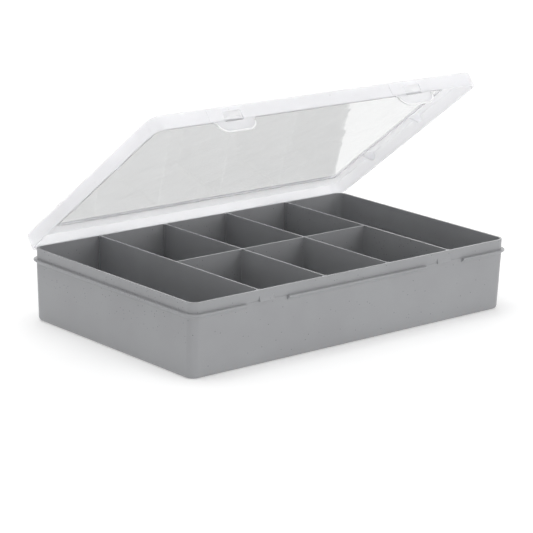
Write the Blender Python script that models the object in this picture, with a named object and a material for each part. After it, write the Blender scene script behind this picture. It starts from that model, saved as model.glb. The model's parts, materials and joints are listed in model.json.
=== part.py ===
"""A parts sorting tray: an open box with eight compartments and a clear lid hinged along its back.

The origin is under the middle of the tray, on the surface that it stands on. +X runs along the tray,
+Y to its hinges and +Z up. Everything on the lid is modelled closed, and hangs on an empty on the
hinge axis, which then turns the lid open.
"""

import math

import bmesh
import bpy
from mathutils import Vector

MM = 0.001
GAP = 0.3 * MM  # between faces of different pieces that meet

# Tray, over its rim
TRAY_LENGTH = 285.4 * MM
TRAY_DEPTH = 173.6 * MM
TRAY_HEIGHT = 51.3 * MM
TRAY_CORNER = 6.5 * MM
WALL = 1.3 * MM
WALL_LOW = 1.8 * MM  # beside the floor
FLOOR = 1.6 * MM
DRAFT = 1.0 * MM  # how far each wall leans in from the rim to the floor
FOOT_EDGE = 2.3 * MM
FLOOR_FILLET = 0.7 * MM  # has to stay below DIVIDER_FILLET
BAND_STEP = 0.25 * MM  # the body stands proud of the band that the lid covers

# Dividers, from the middle of the tray
INNER_DIVIDER = 28.55 * MM
OUTER_DIVIDER = 86.6 * MM
DIVIDER = 1.2 * MM
DIVIDER_LOW = 2.0 * MM
DIVIDER_FILLET = 1.0 * MM
RIB_WIDTH = 1.2 * MM  # on each side of a divider, where it meets the front and back walls
RIB_REACH = 1.0 * MM

# Flange that the lid closes onto
FLANGE_TOP = 43.9 * MM
FLANGE_REACH = 2.3 * MM
FLANGE_EDGE = 1.5 * MM
FLANGE_SLANT = 2.4 * MM
FLANGE_ROUND = 0.5 * MM

# Catches and hinges stand at the same places along the tray
FITTING_OFFSET = 80.9 * MM
CATCH_OPENING = 36.0 * MM  # in the front flange
NUB_WIDTH = 12.8 * MM
NUB_RISE = 4.4 * MM
NUB_REACH = 1.35 * MM
NUB_ROUND = 0.5 * MM
NUB_TOP_INSET = 0.13 * MM  # its slope ends inside the band

# Lid
LID_WALL = 1.3 * MM
LID_EDGE = 0.9 * MM
RECESS_DROP = 1.8 * MM  # from the border down to the panel
RECESS_SIDE = 16.0 * MM
RECESS_FRONT = 19.0 * MM
RECESS_REAR = 19.5 * MM
RECESS_CORNER = 3.0 * MM
PAD_WIDTH = 40.0 * MM
PAD_STEP = 0.25 * MM
WINDOW_WIDTH = 15.7 * MM
WINDOW_TOP = 4.2 * MM  # below the lid's top
TAB_WIDTH = 37.4 * MM  # where it leaves the skirt
TAB_DROP = 8.9 * MM  # below the skirt
TAB_SHOULDER = 3.0 * MM
TAB_CORNER = 7.5 * MM
TAB_FLARE = math.radians(12)
FIN_PLACES = (62.0 * MM, 122.0 * MM)  # behind the lid's front edge
FIN_THICK = 1.0 * MM
FIN_DROP = 6.5 * MM
FIN_ROUND = 3.5 * MM
FIN_FLAT = 1.0 * MM
FIN_CLEARANCE = 0.5 * MM

# Hinges
HINGE_BACK = 7.7 * MM  # from the rim's back to the axis
HINGE_RISE = 1.1 * MM  # from the flange up to the axis
KNUCKLE_RADIUS = 2.6 * MM
KNUCKLE_LENGTH = 13.1 * MM
LUG_WIDTH = 4.5 * MM
LUG_DROP = 7.0 * MM
PIN_RADIUS = 1.2 * MM
CHEEK = 1.2 * MM
CHEEK_RISE = 7.8 * MM  # above the skirt's low edge
WEB = 1.4 * MM
OPENING = math.radians(37.8)

OVER = 4.0 * MM  # how far a cutter passes through a face
SINK = 0.5 * MM  # how far a joined shape starts inside its neighbour

BODY_TOP = FLANGE_TOP - FLANGE_EDGE / 2
LID_LENGTH = TRAY_LENGTH + 2 * FLANGE_REACH
LID_DEPTH = TRAY_DEPTH + 2 * FLANGE_REACH
LID_CORNER = TRAY_CORNER + FLANGE_REACH
SKIRT_LOW = FLANGE_TOP + GAP
NUB_LOW = SKIRT_LOW - 2 * GAP
WINDOW_LOW = NUB_LOW - GAP
PANEL_LOW = TRAY_HEIGHT + GAP
PANEL_HIGH = PANEL_LOW + LID_WALL
LID_TOP = PANEL_HIGH + RECESS_DROP
BORDER_LOW = LID_TOP - LID_WALL
LID_FRONT = -LID_DEPTH / 2
LID_BACK = LID_DEPTH / 2
HINGE_AXIS = Vector((0, TRAY_DEPTH / 2 + HINGE_BACK, FLANGE_TOP + HINGE_RISE))
BORE_RADIUS = PIN_RADIUS + GAP
LUG_SPACE = LUG_WIDTH + 2 * GAP
HINGE_HALF = LUG_SPACE / 2 + KNUCKLE_LENGTH


def clear_scene():
    for obj in list(bpy.data.objects):
        bpy.data.objects.remove(obj)


def new_collection(name):
    collection = bpy.data.collections.new(name)
    bpy.context.scene.collection.children.link(collection)
    return collection


def plastic(name, colour, roughness, transmission=0.0):
    material = bpy.data.materials.new(name)
    material.use_nodes = True
    shader = material.node_tree.nodes["Principled BSDF"]
    shader.inputs["Base Color"].default_value = (*colour, 1)
    shader.inputs["Roughness"].default_value = roughness
    shader.inputs["Metallic"].default_value = 0.0
    shader.inputs["Transmission Weight"].default_value = transmission
    return material


def steel(name, colour, roughness):
    material = plastic(name, colour, roughness)
    material.node_tree.nodes["Principled BSDF"].inputs["Metallic"].default_value = 1.0
    return material


def make_tool(obj):
    """Moves an object among the cutters, where it shapes other objects and is no piece itself."""
    for collection in list(obj.users_collection):
        collection.objects.unlink(obj)
    bpy.data.collections["tray_cutters"].objects.link(obj)
    obj.hide_render = True
    obj.display_type = "WIRE"
    return obj


def object_from(name, bm):
    bmesh.ops.recalc_face_normals(bm, faces=bm.faces)
    mesh = bpy.data.meshes.new(name)
    bm.to_mesh(mesh)
    bm.free()
    obj = bpy.data.objects.new(name, mesh)
    bpy.data.collections["tray_cutters"].objects.link(obj)
    return make_tool(obj)


def rectangle(half_x, half_y, x=0.0, y=0.0):
    return (x - half_x, x + half_x, y - half_y, y + half_y)


def grown(rect, by):
    return (rect[0] - by, rect[1] + by, rect[2] - by, rect[3] + by)


def block(name, low, high, z_low, z_high, corners=0.0, low_edge=0.0, high_edge=0.0, steps=5):
    """A box between the rectangle low at z_low and high at z_high, with rounded corners and edges.

    A rectangle is (x0, x1, y0, y1). corners is one radius, or one for each (x side, y side).
    """
    bm = bmesh.new()
    bmesh.ops.create_cube(bm, size=2)
    uprights = {}
    for edge in bm.edges:
        first, second = (v.co.copy() for v in edge.verts)
        if first.xy == second.xy:
            uprights[(round(first.x), round(first.y))] = edge
    for vert in bm.verts:
        rect = high if vert.co.z > 0 else low
        vert.co.x = rect[1] if vert.co.x > 0 else rect[0]
        vert.co.y = rect[3] if vert.co.y > 0 else rect[2]
        vert.co.z = z_high if vert.co.z > 0 else z_low
    by_radius = {}
    for side, edge in uprights.items():
        radius = corners[side] if isinstance(corners, dict) else corners
        by_radius.setdefault(radius, []).append(edge)
    for radius, edges in sorted(by_radius.items()):
        if radius > 0:
            bmesh.ops.bevel(bm, geom=edges, offset=radius, segments=steps, profile=0.5, affect="EDGES")
    for level, radius in ((z_low, low_edge), (z_high, high_edge)):
        if radius > 0:
            loop = [e for e in bm.edges if all(abs(v.co.z - level) < 1e-7 for v in e.verts)]
            bmesh.ops.bevel(bm, geom=loop, offset=radius, segments=3, profile=0.5, affect="EDGES")
    return object_from(name, bm)


def straight_block(name, rect, z_low, z_high, **rounding):
    return block(name, rect, rect, z_low, z_high, **rounding)


def rod(name, radius, length, centre, sides=24):
    """A cylinder along X."""
    bm = bmesh.new()
    bmesh.ops.create_cone(
        bm, cap_ends=True, segments=sides, radius1=radius, radius2=radius, depth=length
    )
    obj = object_from(name, bm)
    obj.rotation_euler = (0, math.pi / 2, 0)
    obj.location = centre
    obj.data.shade_smooth()
    obj.data.set_sharp_from_angle(angle=math.radians(40))
    return obj


def plate(name, outline, thickness, rotation, location):
    """A flat outline of (x, y) points, drawn as a filled curve and made a mesh that can be joined."""
    curve = bpy.data.curves.new(name, "CURVE")
    curve.dimensions = "2D"
    curve.fill_mode = "BOTH"
    curve.extrude = thickness / 2
    spline = curve.splines.new("POLY")
    spline.points.add(len(outline) - 1)
    for point, (x, y) in zip(spline.points, outline):
        point.co = (x, y, 0, 1)
    spline.use_cyclic_u = True
    drawn = bpy.data.objects.new(name + "_outline", curve)
    bpy.context.scene.collection.objects.link(drawn)
    graph = bpy.context.evaluated_depsgraph_get()
    mesh = bpy.data.meshes.new_from_object(drawn.evaluated_get(graph))
    bpy.data.objects.remove(drawn)
    bm = bmesh.new()
    bm.from_mesh(mesh)
    bmesh.ops.remove_doubles(bm, verts=bm.verts, dist=1e-6)
    obj = object_from(name, bm)
    obj.rotation_euler = rotation
    obj.location = location
    return obj


def arc(centre, radius, start, end, steps):
    """Points of an arc, with its ends, between two angles in degrees."""
    points = []
    for step in range(steps + 1):
        angle = math.radians(start + (end - start) * step / steps)
        points.append((centre[0] + radius * math.cos(angle), centre[1] + radius * math.sin(angle)))
    return points


def boolean(target, tool, operation):
    modifier = target.modifiers.new(f"{operation.lower()} {tool.name}", "BOOLEAN")
    modifier.operation = operation
    modifier.object = tool


def cut(target, tool):
    boolean(target, tool, "DIFFERENCE")


def join(target, tool):
    boolean(target, tool, "UNION")


def finish_piece(obj, material, smooth_angle=40):
    """Takes a shape out of the cutters and makes it a piece of the object."""
    for collection in list(obj.users_collection):
        collection.objects.unlink(obj)
    bpy.data.collections["parts_sorting_tray"].objects.link(obj)
    obj.hide_render = False
    obj.display_type = "TEXTURED"
    obj.data.materials.append(material)
    obj.data.shade_smooth()
    obj.data.set_sharp_from_angle(angle=math.radians(smooth_angle))
    return obj


def at_height(top, low, z):
    """A size that is top at the rim and low at the floor, at any height in between or above."""
    return top + (low - top) * (TRAY_HEIGHT - z) / (TRAY_HEIGHT - FLOOR)


def wall_inset(z):
    """From the rim's outer face to the inner face of a wall."""
    return at_height(WALL, DRAFT + WALL_LOW, z)


def divider_half(z):
    return at_height(DIVIDER, DIVIDER_LOW, z) / 2


def compartment_rect(left, right, front, back, z):
    """The clear space between four faces at one height. A face is a wall, or a divider's place."""
    half_length = TRAY_LENGTH / 2 - wall_inset(z)
    half_depth = TRAY_DEPTH / 2 - wall_inset(z)
    return (
        -half_length if left == "wall" else left + divider_half(z),
        half_length if right == "wall" else right - divider_half(z),
        -half_depth if front == "wall" else front + divider_half(z),
        half_depth if back == "wall" else back - divider_half(z),
    )


def compartment_cutters():
    """Two full-depth compartments at the ends, and three pairs between them."""
    columns = ["wall", -OUTER_DIVIDER, -INNER_DIVIDER, INNER_DIVIDER, OUTER_DIVIDER, "wall"]
    cutters = []
    for number, (left, right) in enumerate(zip(columns, columns[1:]), 1):
        ends = "wall" in (left, right)
        rows = [("wall", "wall")] if ends else [("wall", 0.0), (0.0, "wall")]
        for row, (front, back) in enumerate(rows, 1):
            corners = {}
            for side_x, face_x in ((-1, left), (1, right)):
                for side_y, face_y in ((-1, front), (1, back)):
                    outer = face_x == "wall" and face_y == "wall"
                    corners[(side_x, side_y)] = TRAY_CORNER - WALL if outer else DIVIDER_FILLET
            low = compartment_rect(left, right, front, back, FLOOR)
            high = compartment_rect(left, right, front, back, TRAY_HEIGHT + OVER)
            cutters.append(
                block(
                    f"compartment_{number}_{row}", low, high, FLOOR, TRAY_HEIGHT + OVER,
                    corners=corners, low_edge=FLOOR_FILLET, steps=3,
                )
            )
    return cutters


def divider_ribs():
    """Thicker ends of the cross dividers, where they meet the front and back walls."""
    ribs = []
    low_z = FLOOR / 2
    high_z = TRAY_HEIGHT + 2 * OVER
    for place in (-OUTER_DIVIDER, -INNER_DIVIDER, INNER_DIVIDER, OUTER_DIVIDER):
        for side in (-1, 1):
            rects = []
            for z in (low_z, high_z):
                inner = TRAY_DEPTH / 2 - wall_inset(z) - RIB_REACH
                outer = TRAY_DEPTH / 2 + OVER
                half = divider_half(z) + RIB_WIDTH
                y = sorted((side * inner, side * outer))
                rects.append((place - half, place + half, y[0], y[1]))
            ribs.append(block(f"rib_{len(ribs) + 1}", *rects, low_z, high_z))
    return ribs


def catch_nub(place):
    """A wedge under the band, which the lid's window drops over."""
    front = -TRAY_DEPTH / 2
    inside = front + WALL / 2
    half = NUB_WIDTH / 2
    low = (place - half, place + half, front - NUB_REACH, inside)
    high = (place - half + NUB_ROUND, place + half - NUB_ROUND, front + NUB_TOP_INSET, inside)
    corners = {(-1, -1): NUB_ROUND, (1, -1): NUB_ROUND, (-1, 1): 0.0, (1, 1): 0.0}
    return block("catch_nub", low, high, NUB_LOW, NUB_LOW + NUB_RISE, corners=corners, steps=3)


def hinge_lug(place):
    """The tray's middle knuckle: an eye on an arm that grows out of the back wall."""
    axis_y, axis_z = HINGE_AXIS.y, HINGE_AXIS.z
    wall_y = TRAY_DEPTH / 2 - WALL / 2
    outline = [(wall_y, FLANGE_TOP - 2 * SINK), (wall_y, FLANGE_TOP - LUG_DROP)]
    outline += [(axis_y + x, axis_z + z) for x, z in arc((0, 0), KNUCKLE_RADIUS, -60, 180, 14)]
    outline += [(axis_y - KNUCKLE_RADIUS, FLANGE_TOP - SINK), (wall_y + WALL, FLANGE_TOP - SINK)]
    # The outline's x is world Y and its y is world Z.
    return plate(
        "hinge_lug", outline, LUG_WIDTH, (math.pi / 2, 0, math.pi / 2), (place, 0, 0)
    )


def compartment_tray(material):
    rim = rectangle(TRAY_LENGTH / 2, TRAY_DEPTH / 2)
    band_low = grown(rim, -BAND_STEP / 2)
    body_high = grown(band_low, BAND_STEP)
    tray = block(
        "compartment_tray", grown(rim, -DRAFT), body_high, 0, BODY_TOP,
        corners=TRAY_CORNER, low_edge=FOOT_EDGE,
    )
    join(tray, block("band", band_low, rim, BODY_TOP - OVER, TRAY_HEIGHT, corners=TRAY_CORNER))

    flange = grown(rim, FLANGE_REACH)
    flange_low = FLANGE_TOP - FLANGE_EDGE
    edge = straight_block(
        "flange", flange, flange_low, FLANGE_TOP,
        corners=LID_CORNER, low_edge=FLANGE_ROUND, high_edge=FLANGE_ROUND,
    )
    slant = block(
        "flange_slant", grown(body_high, -SINK), grown(flange, -FLANGE_ROUND),
        flange_low - FLANGE_SLANT, flange_low + FLANGE_EDGE / 3, corners=TRAY_CORNER,
    )
    front = -TRAY_DEPTH / 2 - BAND_STEP / 2
    for place in (-FITTING_OFFSET, FITTING_OFFSET):
        opening = (
            place - CATCH_OPENING / 2, place + CATCH_OPENING / 2,
            front - FLANGE_REACH - OVER, front,
        )
        notch = straight_block(
            "catch_opening", opening, flange_low - FLANGE_SLANT - OVER, FLANGE_TOP + OVER
        )
        cut(edge, notch)
        cut(slant, notch)
    join(tray, slant)
    join(tray, edge)

    for place in (-FITTING_OFFSET, FITTING_OFFSET):
        join(tray, catch_nub(place))
        join(tray, hinge_lug(place))
        cut(tray, rod("lug_bore", BORE_RADIUS, LUG_WIDTH + 2 * OVER, HINGE_AXIS + Vector((place, 0, 0))))

    ribs = divider_ribs()
    for hollow in compartment_cutters():
        for rib in ribs:
            if overlap(hollow, rib):
                cut(hollow, rib)
        cut(tray, hollow)
    return finish_piece(tray, material)


def overlap(first, second):
    """Whether the boxes of two unturned objects overlap along X and Y."""
    for axis in (0, 1):
        spans = []
        for obj in (first, second):
            values = [corner[axis] for corner in obj.bound_box]
            spans.append((min(values), max(values)))
        if spans[0][1] <= spans[1][0] or spans[1][1] <= spans[0][0]:
            return False
    return True


def pull_tab(place):
    """A D-shaped tongue with soft shoulders, hanging from the skirt and flared outwards."""
    half = TAB_WIDTH / 2
    neck = half - TAB_SHOULDER
    side = [(half, SINK * 2), (half, 0)]
    side += arc((half, -TAB_SHOULDER), TAB_SHOULDER, 90, 180, 5)[1:]
    side += arc((neck - TAB_CORNER, -TAB_DROP + TAB_CORNER), TAB_CORNER, 0, -90, 8)
    outline = side + [(-x, y) for x, y in reversed(side)]
    middle = LID_FRONT + LID_WALL / 2
    return plate(
        "pull_tab", outline, LID_WALL, (math.pi / 2 - TAB_FLARE, 0, 0), (place, middle, SKIRT_LOW)
    )


def locating_fin(side, behind_front):
    """A thin plate under the border that drops just inside the tray's end wall."""
    outer = LID_LENGTH / 2 - FLANGE_REACH - WALL - FIN_CLEARANCE
    inner = LID_LENGTH / 2 - RECESS_SIDE
    low = BORDER_LOW - FIN_DROP
    outline = [(inner, BORDER_LOW + SINK), (outer, BORDER_LOW + SINK)]
    outline += arc((outer - FIN_ROUND, low + FIN_ROUND), FIN_ROUND, 0, -90, 6)
    outline += [(outer - FIN_ROUND - FIN_FLAT, low), (inner, PANEL_LOW + SINK)]
    outline = [(side * x, z) for x, z in outline]
    return plate(
        "locating_fin", outline, FIN_THICK, (math.pi / 2, 0, 0), (0, LID_FRONT + behind_front, 0)
    )


def lid_knuckle(lid, place, side):
    """One of the lid's barrels: two cheeks and a web hold it behind the skirt."""
    start = place + side * LUG_SPACE / 2
    end = start + side * KNUCKLE_LENGTH
    axis_y, axis_z = HINGE_AXIS.y, HINGE_AXIS.z
    skirt_y = LID_BACK - LID_WALL / 2
    middle = Vector(((start + end) / 2, axis_y, axis_z))
    cheek = [(skirt_y, SKIRT_LOW), (LID_BACK + SINK, SKIRT_LOW)]
    cheek += [(axis_y + y, axis_z + z) for y, z in arc((0, 0), KNUCKLE_RADIUS, -90, 60, 9)]
    cheek += [(LID_BACK, SKIRT_LOW + CHEEK_RISE), (skirt_y, SKIRT_LOW + CHEEK_RISE)]
    for x in (start + side * CHEEK / 2, end - side * CHEEK / 2):
        join(lid, on_lid(plate("cheek", cheek, CHEEK, (math.pi / 2, 0, math.pi / 2), (x, 0, 0))))
    inner = sorted((start + side * CHEEK / 2, end - side * CHEEK / 2))
    web = (inner[0], inner[1], skirt_y, axis_y - KNUCKLE_RADIUS / 3)
    join(lid, on_lid(straight_block("web", web, SKIRT_LOW, SKIRT_LOW + WEB)))
    barrel_length = KNUCKLE_LENGTH - CHEEK
    join(lid, on_lid(rod("barrel", KNUCKLE_RADIUS - GAP / 3, barrel_length, middle)))


def on_lid(obj):
    """Hangs a shape, modelled on the closed lid, on the hinge."""
    obj.parent = bpy.data.objects["lid_hinge"]
    obj.location -= HINGE_AXIS
    return obj


def hinged_lid(material):
    outer = rectangle(LID_LENGTH / 2, LID_DEPTH / 2)
    lid = on_lid(
        straight_block(
            "hinged_lid", outer, SKIRT_LOW, LID_TOP, corners=LID_CORNER, high_edge=LID_EDGE, steps=6
        )
    )
    inner = grown(outer, -LID_WALL)
    recess = (
        outer[0] + RECESS_SIDE, outer[1] - RECESS_SIDE,
        outer[2] + RECESS_FRONT, outer[3] - RECESS_REAR,
    )
    hollow = straight_block(
        "lid_hollow", inner, SKIRT_LOW - OVER, BORDER_LOW, corners=LID_CORNER - LID_WALL, steps=6
    )
    cut(lid, on_lid(hollow))
    boss = straight_block(
        "panel_step", grown(recess, LID_WALL), PANEL_LOW, BORDER_LOW + SINK,
        corners=RECESS_CORNER + LID_WALL,
    )
    join(lid, on_lid(boss))
    dish = straight_block(
        "panel_recess", recess, PANEL_HIGH, LID_TOP + OVER, corners=RECESS_CORNER
    )
    cut(lid, on_lid(dish))

    for side in (-1, 1):
        for behind_front in FIN_PLACES:
            join(lid, on_lid(locating_fin(side, behind_front)))

    for place in (-FITTING_OFFSET, FITTING_OFFSET):
        pad = (
            place - PAD_WIDTH / 2, place + PAD_WIDTH / 2,
            LID_FRONT - PAD_STEP, LID_FRONT + LID_WALL / 2,
        )
        join(lid, on_lid(straight_block("catch_pad", pad, SKIRT_LOW, LID_TOP - LID_EDGE)))
        join(lid, on_lid(pull_tab(place)))
        window = (
            place - WINDOW_WIDTH / 2, place + WINDOW_WIDTH / 2, LID_FRONT - OVER, LID_FRONT + OVER
        )
        cut(lid, on_lid(straight_block("window", window, WINDOW_LOW, LID_TOP - WINDOW_TOP)))
        relief_front = -TRAY_DEPTH / 2 - NUB_REACH - GAP
        relief = (window[0], window[1], relief_front, LID_FRONT + OVER)
        relief_low = SKIRT_LOW - TAB_DROP - OVER
        cut(lid, on_lid(straight_block("relief", relief, relief_low, WINDOW_LOW + SINK)))

    for place in (-FITTING_OFFSET, FITTING_OFFSET):
        for side in (-1, 1):
            lid_knuckle(lid, place, side)
        centre = HINGE_AXIS + Vector((place, 0, 0))
        cut(lid, on_lid(rod("knuckle_bore", BORE_RADIUS, 2 * HINGE_HALF + 2 * OVER, centre)))
    return finish_piece(lid, material)


def hinge_pin(name, place, material):
    pin = rod(name, PIN_RADIUS, 2 * HINGE_HALF, HINGE_AXIS + Vector((place, 0, 0)), sides=16)
    return finish_piece(pin, material)


def build():
    clear_scene()
    new_collection("parts_sorting_tray")
    new_collection("tray_cutters").hide_render = True
    hinge = bpy.data.objects.new("lid_hinge", None)
    hinge.location = HINGE_AXIS
    bpy.data.collections["parts_sorting_tray"].objects.link(hinge)

    grey = plastic("grey polypropylene", (0.29, 0.29, 0.28), 0.45)
    clear = plastic("frosted clear styrene", (0.88, 0.88, 0.90), 0.25, transmission=0.9)
    pin_metal = steel("pin steel", (0.62, 0.62, 0.64), 0.3)
    compartment_tray(grey)
    hinged_lid(clear)
    hinge_pin("hinge_pin_left", -FITTING_OFFSET, pin_metal)
    hinge_pin("hinge_pin_right", FITTING_OFFSET, pin_metal)
    hinge.rotation_euler = (-OPENING, 0, 0)


build()
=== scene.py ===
"""Looks for a parts sorting tray: grey moulded box, clear hinged lid with a frosted border, steel pins."""

import json
import math

import bmesh
import bpy
from mathutils import Matrix, Vector


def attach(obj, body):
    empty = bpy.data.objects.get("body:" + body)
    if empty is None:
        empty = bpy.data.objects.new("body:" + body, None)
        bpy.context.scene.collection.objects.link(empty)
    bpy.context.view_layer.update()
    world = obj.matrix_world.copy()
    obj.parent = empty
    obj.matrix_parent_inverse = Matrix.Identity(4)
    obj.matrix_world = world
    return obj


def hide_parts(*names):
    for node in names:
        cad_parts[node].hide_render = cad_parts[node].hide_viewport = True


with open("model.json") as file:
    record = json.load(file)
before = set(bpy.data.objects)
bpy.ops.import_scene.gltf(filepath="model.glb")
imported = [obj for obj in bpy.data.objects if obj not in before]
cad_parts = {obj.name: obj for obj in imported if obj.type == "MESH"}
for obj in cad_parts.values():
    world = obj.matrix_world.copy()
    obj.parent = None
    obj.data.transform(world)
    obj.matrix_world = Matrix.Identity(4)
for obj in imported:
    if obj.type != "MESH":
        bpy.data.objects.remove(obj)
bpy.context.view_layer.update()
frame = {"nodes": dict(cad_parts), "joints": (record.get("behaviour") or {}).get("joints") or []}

MM = 0.001

# Edges are rounded where they are sharper than EDGE_ANGLE, and shaded round up to SMOOTH_ANGLE
TRAY_EDGE = 0.28 * MM
LID_EDGE = 0.22 * MM
PIN_EDGE = 0.25 * MM
EDGE_SEGMENTS = 2
EDGE_ANGLE = math.radians(35)
SMOOTH_ANGLE = math.radians(50)
FLAT_ANGLE = math.radians(0.6)  # faces that meet flatter than this are one face
MERGE = 0.002 * MM
LARGE_FACES_LEAD = 80  # per cent, where large and small faces share a shading normal

# The clear sheet in the closed lid. The sunk panel's wall is at the PANEL distances from the lid's
# outer edges, and the sheet ends SHEET_INSET inside that wall.
LID_LENGTH = 290.0 * MM
LID_DEPTH = 178.2 * MM
PANEL_SIDE = 16.0 * MM
PANEL_FRONT = 19.0 * MM
PANEL_REAR = 19.5 * MM
SHEET_INSET = 0.4 * MM
SHEET_LOW = 51.6 * MM
SHEET_HIGH = 52.9 * MM
SHEET_SEAM = 0.02 * MM
SHEET_HALF_LENGTH = LID_LENGTH / 2 - PANEL_SIDE - SHEET_INSET
SHEET_FRONT = -LID_DEPTH / 2 + PANEL_FRONT + SHEET_INSET
SHEET_BACK = LID_DEPTH / 2 - PANEL_REAR - SHEET_INSET

# The pull tabs' outline, below the lid's skirt, and the round bead on their rims
TAB_OFFSET = 80.9 * MM
TAB_HALF = 18.7 * MM
TAB_DROP = 8.9 * MM
TAB_SHOULDER = 3.0 * MM
TAB_CORNER = 7.5 * MM
TAB_FLARE = math.radians(12)
TAB_MIDDLE = (-88.45 * MM, 44.2 * MM)  # depth and height of the middle of a tab's neck
BEAD_RADIUS = 0.75 * MM
BEAD_TIP = 0.2 * MM
BEAD_TAPER = 3  # rings from a tip to the full radius
BEAD_PROUD = 0.25 * MM  # towards the outer face
BEAD_SIDES = 10
BEAD_START = 115  # degrees round a shoulder
BEAD_SHOULDER_STEPS = 7
BEAD_CORNER_STEPS = 14

# Sink lines on the tray's long walls, where dividers stand behind them
DIVIDER_PLACES = (28.55 * MM, 86.6 * MM)
SINK_WIDTH = 1.1 * MM
SINK_NONE = 85.2 * MM  # nearer the middle than this, no sink lines
SINK_FULL = 85.6 * MM

# Colours
TRAY_GREYS = ((0.280, 0.283, 0.293, 1), (0.298, 0.303, 0.313, 1))
TRAY_SPECK = (0.06, 0.06, 0.062, 1)
TRAY_FLECK = (0.42, 0.42, 0.42, 1)
FROSTED = (0.905, 0.905, 0.945, 1)
FROSTED_SPECK = (0.25, 0.25, 0.27, 1)
SHEET_TINTS = ((0.785, 0.790, 0.790, 1), (0.805, 0.810, 0.810, 1))
# Tab beads: whiter than the frosted lid, a painted highlight along the tab rims
BEAD_PAINTED_HIGHLIGHT_WHITES = ((0.975, 0.975, 0.99, 1), (0.995, 0.995, 1, 1))
STEEL_GREYS = ((0.50, 0.50, 0.52, 1), (0.66, 0.66, 0.68, 1))
FLOOR_GREYS = ((0.80, 0.80, 0.80, 1), (0.82, 0.82, 0.82, 1))

# Milky plastic: how far light spreads inside it, and how much of it hides what is behind
MILK_DEPTH = 6.0 * MM
MILK_SPREAD = (1.0, 1.0, 1.0)
BORDER_COVER = 0.45
# The beads hide more of what is behind them than the border does, which makes their painted highlight
# stronger
BEAD_COVER = 0.8

# Texture sizes, in features per metre
CLOUDS = 28
GRAIN = 900
SPECKS = 420
FLECKS = 260
FROST = 1400
FROST_CLOUDS = 35
FROST_SPECKS = 300
SHEET_WAVES = 26
SHEET_RIPPLES = 62
BEAD_WAVES = 60
DRAWN_LINES = 2600
FLOOR_SHADES = 3

# Camera: where it stands, and how it is turned
CAMERA_PLACE = (-1.0359, -1.1832, 0.4596)
CAMERA_AZIMUTH = 41.48
CAMERA_ELEVATION = 15.07
CAMERA_ROLL = 1.54
CAMERA_LENS = 157.4
CAMERA_SENSOR = 36
CAMERA_SHIFT = (-0.0326, -0.0048)
CAMERA_REACH = 50

# Studio: a floor lit from below, more so far from the tray, and a sky brightest near the horizon
FLOOR_HALF = 6
FLOOR_NEAR = 0.8
FLOOR_FAR = 2.8
FLOOR_GLOW_NEAR = (0.25, 0.25, 0.25, 1)
FLOOR_GLOW_FAR = (0.62, 0.62, 0.62, 1)
SKY_HORIZON = (1.15, 1.15, 1.15, 1)
SKY_TOP = (0.36, 0.36, 0.36, 1)
SKY_HORIZON_HEIGHT = 0.12
SKY_TOP_HEIGHT = 0.75
LIGHT_AIM = (0, 0, 0.04)
# Name, place, width and height in metres, and power in watts
LIGHTS = (
    ("overhead", (-0.2, 0.3, 2.2), (1.8, 1.8), 26),
    ("front fill", (0.9, -2.2, 0.9), (1.2, 1.2), 11),
    ("right wash", (2.2, -0.2, 0.6), (1.4, 0.9), 4),
    ("rear wash", (1.6, 1.85, 0.75), (1.9, 0.9), 6),
)

joint = frame["joints"][0]


# ---------------------------------------------------------------- shader maths


class Value:
    """A number that varies over a surface. Arithmetic on it adds Math nodes."""

    def __init__(self, finish, socket):
        self.finish = finish
        self.socket = socket

    def math(self, operation, *others):
        return self.finish.node("ShaderNodeMath", {"operation": operation}, [self, *others])

    def __add__(self, other):
        return self.math("ADD", other)

    __radd__ = __add__

    def __sub__(self, other):
        return self.math("SUBTRACT", other)

    def __rsub__(self, other):
        return self.finish.node("ShaderNodeMath", {"operation": "SUBTRACT"}, [other, self])

    def __mul__(self, other):
        return self.math("MULTIPLY", other)

    __rmul__ = __mul__

    def __truediv__(self, other):
        return self.math("DIVIDE", other)

    def __rtruediv__(self, other):
        return self.finish.node("ShaderNodeMath", {"operation": "DIVIDE"}, [other, self])

    def __abs__(self):
        return self.math("ABSOLUTE")

    def __gt__(self, other):
        return self.math("GREATER_THAN", other)

    def __lt__(self, other):
        return self.math("LESS_THAN", other)


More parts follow.
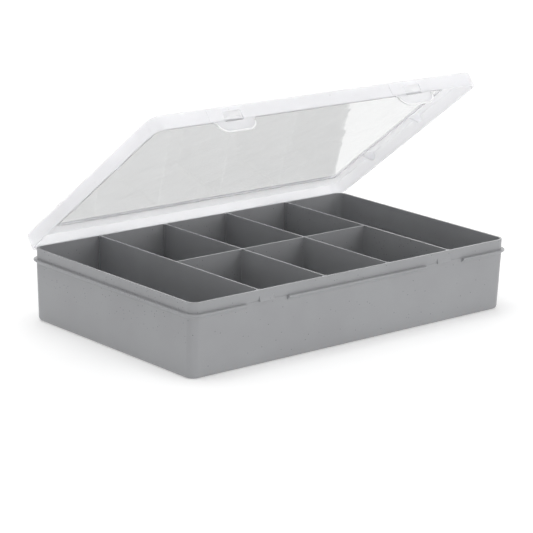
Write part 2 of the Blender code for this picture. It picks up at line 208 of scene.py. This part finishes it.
class Finish:
    """A material, its Principled shader and the nodes that vary it."""

    def __init__(self, name, **constants):
        self.material = bpy.data.materials.new(name)
        self.material.use_nodes = True
        self.tree = self.material.node_tree
        self.shader = self.tree.nodes["Principled BSDF"]
        for socket, value in constants.items():
            self.shader.inputs[socket.replace("_", " ")].default_value = value

    def node(self, kind, settings=None, inputs=None, output=0):
        """Adds a node. Its settings are set first, then its sockets, from a list or a dict."""
        made = self.tree.nodes.new(kind)
        for setting, value in (settings or {}).items():
            setattr(made, setting, value)
        pairs = inputs.items() if isinstance(inputs, dict) else enumerate(inputs or [])
        for key, value in pairs:
            self.feed(made.inputs[key], value)
        return Value(self, made.outputs[output])

    def feed(self, socket, value):
        if isinstance(value, Value):
            self.tree.links.new(value.socket, socket)
        else:
            socket.default_value = value

    def surface(self, name, value):
        self.feed(self.shader.inputs[name], value)

    def place(self):
        """The point on the surface, in metres."""
        return self.node("ShaderNodeTexCoord", output="Object")

    def parts(self, vector):
        split = self.node("ShaderNodeSeparateXYZ", inputs=[vector]).socket.node
        return [Value(self, socket) for socket in split.outputs]

    def noise(self, where, scale, detail=2.0, roughness=0.5):
        return self.node(
            "ShaderNodeTexNoise",
            inputs={"Vector": where, "Scale": scale, "Detail": detail, "Roughness": roughness},
        )

    def cells(self, where, scale, output="Distance"):
        return self.node(
            "ShaderNodeTexVoronoi", inputs={"Vector": where, "Scale": scale}, output=output
        )

    def step(self, value, low, high):
        """0 below low, 1 above high, smooth in between."""
        return self.node(
            "ShaderNodeMapRange",
            {"interpolation_type": "SMOOTHSTEP"},
            {"Value": value, "From Min": low, "From Max": high},
        )

    def mix(self, factor, first, second):
        """A colour between two colours. Sockets 6 and 7 are a Mix node's colours."""
        return self.node(
            "ShaderNodeMix", {"data_type": "RGBA"}, {0: factor, 6: first, 7: second}, output=2
        )

    def bump(self, height, strength, distance):
        normal = self.node(
            "ShaderNodeBump", inputs={"Height": height, "Strength": strength, "Distance": distance}
        )
        self.surface("Normal", normal)


# ---------------------------------------------------------------- finishes


def tray_plastic():
    """Satin grey polypropylene with fine dark specks, faint flow clouds and sink lines."""
    finish = Finish("satin grey polypropylene", Metallic=0.0, IOR=1.49)
    place = finish.place()
    x, y = finish.parts(place)[:2]
    clouds = finish.noise(place, CLOUDS, detail=3)
    grain = finish.noise(place, GRAIN, detail=2)
    speck_size = finish.cells(place, SPECKS)
    speck_chance = finish.parts(finish.cells(place, SPECKS, output="Color"))[0]
    specks = (1 - finish.step(speck_size, 0.06, 0.20)) * (speck_chance < 0.16)
    flecks = (1 - finish.step(finish.cells(place, FLECKS), 0.05, 0.16)) * (clouds > 0.52)
    tone = finish.mix(finish.step(clouds, 0.3, 0.7), *TRAY_GREYS)
    tone = finish.mix(specks * 0.75, tone, TRAY_SPECK)
    tone = finish.mix(flecks * 0.10, tone, TRAY_FLECK)
    finish.surface("Base Color", tone)
    finish.surface("Roughness", 0.28 + 0.08 * clouds + 0.06 * grain)
    sink = None
    for divider in DIVIDER_PLACES:
        off = abs(abs(x) - divider) / SINK_WIDTH
        dip = 1 / (1 + off * off)
        sink = dip if sink is None else sink + dip
    outside = finish.step(abs(y), SINK_NONE, SINK_FULL)
    height = grain * 0.05 + clouds * 0.6 - sink * outside * 0.5
    finish.bump(height, 0.5, 0.1 * MM)
    return finish.material


def frosted_lid():
    """The border and skirt: milky, with an etched face and a few specks."""
    finish = Finish(
        "frosted styrene", Metallic=0.0, IOR=1.4, Alpha=BORDER_COVER, Subsurface_Weight=0.6,
        Subsurface_Radius=MILK_SPREAD, Subsurface_Scale=MILK_DEPTH,
    )
    place = finish.place()
    etch = finish.noise(place, FROST, detail=2)
    clouds = finish.noise(place, FROST_CLOUDS, detail=3)
    speck_chance = finish.parts(finish.cells(place, FROST_SPECKS, output="Color"))[1]
    speck_size = finish.cells(place, FROST_SPECKS)
    specks = (1 - finish.step(speck_size, 0.05, 0.16)) * (speck_chance < 0.03)
    finish.surface("Base Color", finish.mix(specks * 0.6, FROSTED, FROSTED_SPECK))
    finish.surface("Roughness", 0.30 + 0.16 * clouds)
    finish.bump(etch + clouds * 2, 0.35, 0.02 * MM)
    return finish.material


def clear_sheet():
    """The sunk panel: glossy and clear, with the slow waves of a thin moulded sheet."""
    finish = Finish("clear styrene", Metallic=0.0, IOR=1.24, Transmission_Weight=1.0)
    place = finish.place()
    waves = finish.noise(place, SHEET_WAVES, detail=1.5, roughness=0.4)
    ripples = finish.noise(place, SHEET_RIPPLES, detail=1.5)
    finish.surface("Base Color", finish.mix(waves, *SHEET_TINTS))
    finish.surface("Roughness", 0.015 + 0.035 * finish.step(ripples, 0.45, 0.75))
    finish.bump(waves + ripples * 0.5, 0.8, 0.35 * MM)
    return finish.material


def bead_painted_highlight():
    """The rounded rim of the pull tabs. Its round shape catches light, and its plastic, whiter and more
    opaque than the lid's, is a painted highlight.
    """
    finish = Finish(
        "styrene bead with painted highlight", Metallic=0.0, IOR=1.5, Alpha=BEAD_COVER, Subsurface_Weight=0.3,
        Subsurface_Radius=MILK_SPREAD, Subsurface_Scale=MILK_DEPTH,
    )
    shade = finish.noise(finish.place(), BEAD_WAVES, detail=2)
    # Painted highlight: the bead is whiter than the lid's frosted plastic
    finish.surface("Base Color", finish.mix(shade, *BEAD_PAINTED_HIGHLIGHT_WHITES))
    finish.surface("Roughness", 0.12 + 0.1 * shade)
    finish.bump(shade, 0.2, 0.1 * MM)
    return finish.material


def drawn_steel():
    """The hinge pins: bright steel with the fine texture of drawn wire."""
    finish = Finish("drawn steel", Metallic=1.0)
    lines = finish.noise(finish.place(), DRAWN_LINES, detail=2)
    finish.surface("Base Color", finish.mix(lines, *STEEL_GREYS))
    finish.surface("Roughness", 0.22 + 0.2 * lines)
    finish.bump(lines, 0.3, 0.02 * MM)
    return finish.material


def studio_floor():
    """A pale floor that glows a little, and more from FLOOR_NEAR to FLOOR_FAR metres away."""
    finish = Finish("pale floor", Metallic=0.0, Emission_Strength=1.0)
    place = finish.place()
    x, y = finish.parts(place)[:2]
    far = finish.step(x * x + y * y, FLOOR_NEAR ** 2, FLOOR_FAR ** 2)
    finish.surface("Emission Color", finish.mix(far, FLOOR_GLOW_NEAR, FLOOR_GLOW_FAR))
    shade = finish.noise(place, FLOOR_SHADES, detail=2)
    finish.surface("Base Color", finish.mix(shade, *FLOOR_GREYS))
    finish.surface("Roughness", 0.85 + 0.05 * shade)
    return finish.material


# ---------------------------------------------------------------- pieces


def new_object(name, mesh):
    made = bpy.data.objects.new(name, mesh)
    bpy.context.scene.collection.objects.link(made)
    return made


def shade_round(mesh):
    mesh.shade_smooth()
    mesh.set_sharp_from_angle(angle=SMOOTH_ANGLE)


def softened_copy(node, name, edge):
    """A CAD node's shape with its flat faces whole again and every sharp edge rounded."""
    source = frame["nodes"][node]
    bm = bmesh.new()
    bm.from_mesh(source.data)
    bmesh.ops.remove_doubles(bm, verts=bm.verts, dist=MERGE)
    bmesh.ops.dissolve_limit(
        bm, angle_limit=FLAT_ANGLE, verts=bm.verts, edges=bm.edges, delimit={"NORMAL"}
    )
    mesh = bpy.data.meshes.new(name)
    bm.to_mesh(mesh)
    bm.free()
    piece = new_object(name, mesh)
    bevel = piece.modifiers.new("moulded edges", "BEVEL")
    bevel.limit_method = "ANGLE"
    bevel.angle_limit = EDGE_ANGLE
    bevel.width = edge
    bevel.segments = EDGE_SEGMENTS
    bevel.use_clamp_overlap = True
    graph = bpy.context.evaluated_depsgraph_get()
    made = bpy.data.meshes.new_from_object(piece.evaluated_get(graph))
    piece.modifiers.clear()
    piece.data = made
    made.name = name
    shade_round(made)
    weighted = piece.modifiers.new("even shading", "WEIGHTED_NORMAL")
    weighted.keep_sharp = True
    weighted.weight = LARGE_FACES_LEAD
    return piece


def closed_lid_matrix():
    """Turns points of the resting lid to where they are when it is closed."""
    pivot = Matrix.Translation(Vector(joint["pos_m"]))
    closed = math.radians(joint["range_deg"][0])
    turn = Matrix.Rotation(closed, 4, Vector(joint["axis"]))
    return pivot @ turn @ pivot.inverted()


def make_tray():
    tray = softened_copy("compartment_tray", "tray_moulding", TRAY_EDGE)
    tray.data.materials.clear()
    tray.data.materials.append(tray_plastic())
    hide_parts("compartment_tray")
    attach(tray, "tray")


def cut_along_sheet(bm):
    """Cuts the closed lid's faces along the edges of the clear sheet."""
    for place, normal in (
        ((SHEET_HALF_LENGTH, 0, 0), (1, 0, 0)),
        ((-SHEET_HALF_LENGTH, 0, 0), (1, 0, 0)),
        ((0, SHEET_FRONT, 0), (0, 1, 0)),
        ((0, SHEET_BACK, 0), (0, 1, 0)),
    ):
        bmesh.ops.bisect_plane(
            bm, geom=[*bm.verts, *bm.edges, *bm.faces], plane_co=place, plane_no=normal
        )


def open_border(bm):
    """Takes the sheet's faces away, and closes the border round the hole with its inner sides."""
    sheet_faces = []
    for face in bm.faces:
        middle = face.calc_center_median()
        if abs(middle.x) < SHEET_HALF_LENGTH and SHEET_FRONT < middle.y < SHEET_BACK:
            sheet_faces.append(face)
    bmesh.ops.delete(bm, geom=sheet_faces, context="FACES")
    bmesh.ops.bridge_loops(bm, edges=[edge for edge in bm.edges if edge.is_boundary])


def add_sheet(bm):
    """Fills the hole with the clear sheet, a closed shell in the lid's second material."""
    for corner in bmesh.ops.create_cube(bm, size=2)["verts"]:
        corner.co.x = math.copysign(SHEET_HALF_LENGTH - SHEET_SEAM, corner.co.x)
        corner.co.y = SHEET_BACK - SHEET_SEAM if corner.co.y > 0 else SHEET_FRONT + SHEET_SEAM
        corner.co.z = SHEET_HIGH if corner.co.z > 0 else SHEET_LOW
        for face in corner.link_faces:
            face.material_index = 1


def make_lid():
    lid = softened_copy("hinged_lid", "lid_moulding", LID_EDGE)
    lid.data.materials.clear()
    lid.data.materials.append(frosted_lid())
    lid.data.materials.append(clear_sheet())
    to_closed = closed_lid_matrix()
    bm = bmesh.new()
    bm.from_mesh(lid.data)
    bm.transform(to_closed)
    cut_along_sheet(bm)
    open_border(bm)
    add_sheet(bm)
    bm.transform(to_closed.inverted())
    bmesh.ops.recalc_face_normals(bm, faces=bm.faces)
    bm.to_mesh(lid.data)
    bm.free()
    shade_round(lid.data)
    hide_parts("hinged_lid")
    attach(lid, "lid")


def arc(centre, radius, start, end, steps):
    """Points of an arc, with its ends, between two angles in degrees."""
    angles = [math.radians(start + (end - start) * step / steps) for step in range(steps + 1)]
    return [(centre[0] + radius * math.cos(a), centre[1] + radius * math.sin(a)) for a in angles]


def tab_rim():
    """The rim of a pull tab, from shoulder to shoulder, in the tab's own plane."""
    neck = TAB_HALF - TAB_SHOULDER
    side = arc((TAB_HALF, -TAB_SHOULDER), TAB_SHOULDER, BEAD_START, 180, BEAD_SHOULDER_STEPS)
    lower = (neck - TAB_CORNER, TAB_CORNER - TAB_DROP)
    side += arc(lower, TAB_CORNER, 0, -90, BEAD_CORNER_STEPS)
    return side + [(-x, y) for x, y in reversed(side)]


def swept_bead(name, path, radius):
    """A round rod that tapers to closed tips, along points in its own XY plane."""
    bm = bmesh.new()
    rings = []
    for index, (x, y) in enumerate(path):
        before = Vector(path[max(index - 1, 0)])
        after = Vector(path[min(index + 1, len(path) - 1)])
        along = (after - before).normalized()
        across = Vector((along.y, -along.x, 0))
        from_tip = min(index, len(path) - 1 - index, BEAD_TAPER) / BEAD_TAPER
        thick = BEAD_TIP + (radius - BEAD_TIP) * from_tip
        ring = []
        for step in range(BEAD_SIDES):
            turn = 2 * math.pi * step / BEAD_SIDES
            out = across * math.cos(turn) + Vector((0, 0, math.sin(turn)))
            ring.append(bm.verts.new(Vector((x, y, BEAD_PROUD)) + out * thick))
        rings.append(ring)
    for first, second in zip(rings, rings[1:]):
        for step in range(BEAD_SIDES):
            following = (step + 1) % BEAD_SIDES
            bm.faces.new((first[step], first[following], second[following], second[step]))
    bm.faces.new(rings[0])
    bm.faces.new(rings[-1])
    bmesh.ops.recalc_face_normals(bm, faces=bm.faces)
    mesh = bpy.data.meshes.new(name)
    bm.to_mesh(mesh)
    bm.free()
    shade_round(mesh)
    return new_object(name, mesh)


def make_tab_beads():
    """The round rim of each pull tab, whiter than the lid: a painted highlight."""
    to_rest = closed_lid_matrix().inverted()
    bead_highlight_finish = bead_painted_highlight()
    for side, place in (("left", -TAB_OFFSET), ("right", TAB_OFFSET)):
        bead = swept_bead(f"tab_bead_{side}", tab_rim(), BEAD_RADIUS)
        lean = Matrix.Rotation(math.pi / 2 - TAB_FLARE, 4, "X")
        bead.data.transform(to_rest @ Matrix.Translation((place, *TAB_MIDDLE)) @ lean)
        bead.data.materials.append(bead_highlight_finish)
        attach(bead, "lid")


def make_pins():
    steel = drawn_steel()
    for side in ("left", "right"):
        pin = softened_copy(f"hinge_pin_{side}", f"steel_pin_{side}", PIN_EDGE)
        pin.data.materials.clear()
        pin.data.materials.append(steel)
        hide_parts(f"hinge_pin_{side}")
        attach(pin, "tray")


# ---------------------------------------------------------------- studio


def make_camera():
    azimuth = math.radians(CAMERA_AZIMUTH)
    elevation = math.radians(CAMERA_ELEVATION)
    turn = Matrix.Rotation(-azimuth, 4, "Z") @ Matrix.Rotation(math.pi / 2 - elevation, 4, "X")
    roll = Matrix.Rotation(math.radians(CAMERA_ROLL), 4, "Z")
    camera = new_object("camera", bpy.data.cameras.new("camera"))
    camera.matrix_world = Matrix.Translation(CAMERA_PLACE) @ turn @ roll
    camera.data.lens = CAMERA_LENS
    camera.data.sensor_width = CAMERA_SENSOR
    camera.data.shift_x, camera.data.shift_y = CAMERA_SHIFT
    camera.data.clip_end = CAMERA_REACH
    bpy.context.scene.camera = camera


def make_floor():
    bm = bmesh.new()
    bmesh.ops.create_grid(bm, x_segments=8, y_segments=8, size=FLOOR_HALF)
    mesh = bpy.data.meshes.new("floor")
    bm.to_mesh(mesh)
    bm.free()
    floor = new_object("floor", mesh)
    mesh.materials.append(studio_floor())


def soft_light(name, place, size, power):
    data = bpy.data.lights.new(name, "AREA")
    data.shape = "RECTANGLE"
    data.size, data.size_y = size
    data.energy = power
    light = new_object(name, data)
    light.location = place
    aim = Vector(LIGHT_AIM) - Vector(place)
    light.rotation_euler = aim.to_track_quat("-Z", "Y").to_euler()


def make_studio():
    world = bpy.data.worlds.new("studio")
    world.use_nodes = True
    tree = world.node_tree
    coordinates = tree.nodes.new("ShaderNodeTexCoord")
    split = tree.nodes.new("ShaderNodeSeparateXYZ")
    ramp = tree.nodes.new("ShaderNodeValToRGB")
    low, high = ramp.color_ramp.elements
    low.position = SKY_HORIZON_HEIGHT
    low.color = SKY_HORIZON
    high.position = SKY_TOP_HEIGHT
    high.color = SKY_TOP
    tree.links.new(coordinates.outputs["Generated"], split.inputs[0])
    tree.links.new(split.outputs["Z"], ramp.inputs["Fac"])
    tree.links.new(ramp.outputs["Color"], tree.nodes["Background"].inputs["Color"])
    bpy.context.scene.world = world
    bpy.context.scene.view_settings.view_transform = "Standard"
    for light in LIGHTS:
        soft_light(*light)
    make_floor()


make_camera()
make_studio()
make_tray()
make_lid()
make_tab_beads()
make_pins()
